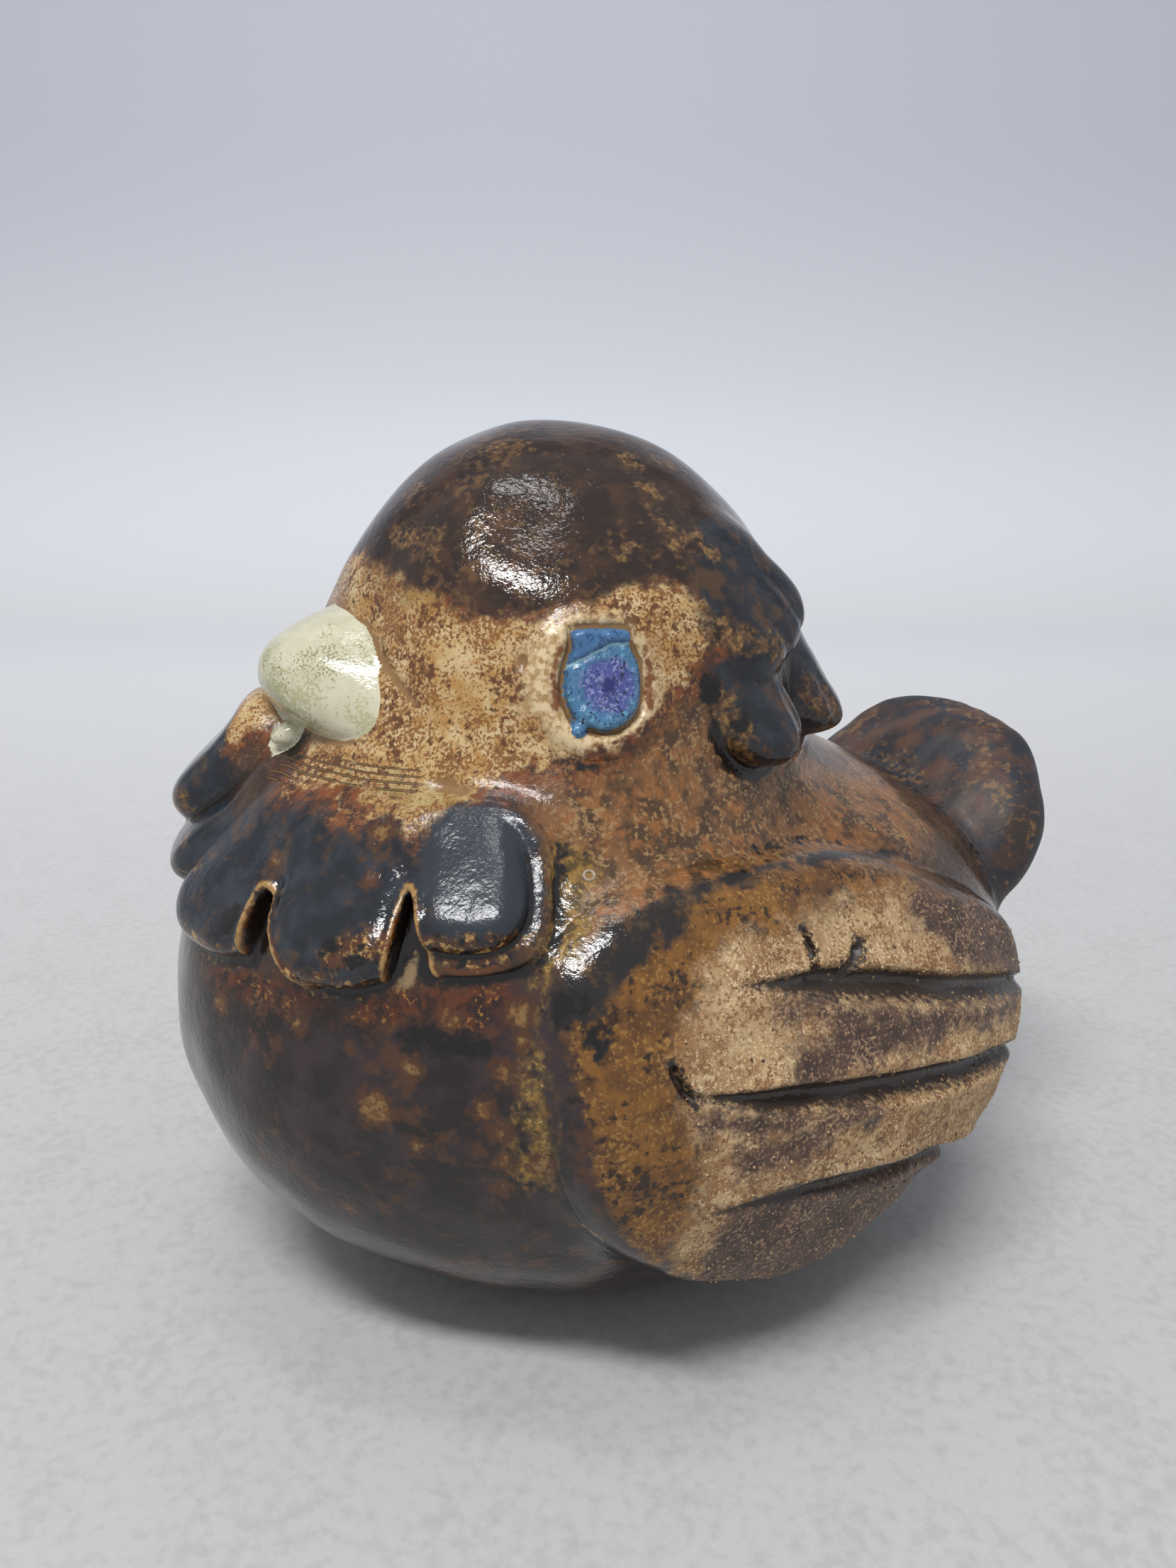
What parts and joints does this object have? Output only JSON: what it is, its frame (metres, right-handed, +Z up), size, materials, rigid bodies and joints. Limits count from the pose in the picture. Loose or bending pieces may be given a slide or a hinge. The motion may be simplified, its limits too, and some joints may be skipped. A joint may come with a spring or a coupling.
{
  "type": "ceramic bird figurine",
  "caption": "Plump hand-built stoneware bird ornament that sits on a flat base, with pressed-on beak, eyes, breast ruff, nape tufts, grooved wings and upturned tail.",
  "frame": {"origin": "centre of the flat base the bird sits on", "axes": "the bird faces -Y, its left side is +X, +Z up from the base"},
  "size_m": [0.0874, 0.1088, 0.092],
  "materials": {
    "brown_glaze": "glossy dark brown reduction glaze with amber and rust breaks",
    "buff_glaze": "thin satin buff glaze with dense brown speckle",
    "pale_yellow_glaze": "glossy pale yellow-green glaze with fine dark specks",
    "blue_glaze": "pooled crystalline blue glaze, violet toward the middle",
    "blue_black_glaze": "high-gloss blue-black glaze, buff where it breaks over edges",
    "bare_stoneware": "matt buff stoneware washed with purple-brown oxide"
  },
  "bodies": {
    "root": {"body": "brown_glaze", "head": "buff_glaze", "beak_upper": "pale_yellow_glaze", "beak_lower": "pale_yellow_glaze", "eye_ring_left": "buff_glaze", "eye_ring_right": "buff_glaze", "eye_left": "blue_glaze", "eye_right": "blue_glaze", "ruff_left_1": "blue_black_glaze", "ruff_left_2": "blue_black_glaze", "ruff_left_3": "blue_black_glaze", "ruff_right_1": "blue_black_glaze", "ruff_right_2": "blue_black_glaze", "ruff_right_3": "blue_black_glaze", "nape_upper_left": "blue_black_glaze", "nape_upper_right": "blue_black_glaze", "nape_lower_left": "blue_black_glaze", "nape_lower_right": "blue_black_glaze", "nape_rear_left": "blue_black_glaze", "nape_rear_right": "blue_black_glaze", "nape_centre": "blue_black_glaze", "wing_left": "bare_stoneware", "wing_right": "bare_stoneware", "tail": "brown_glaze"}
  },
  "joints": []
}
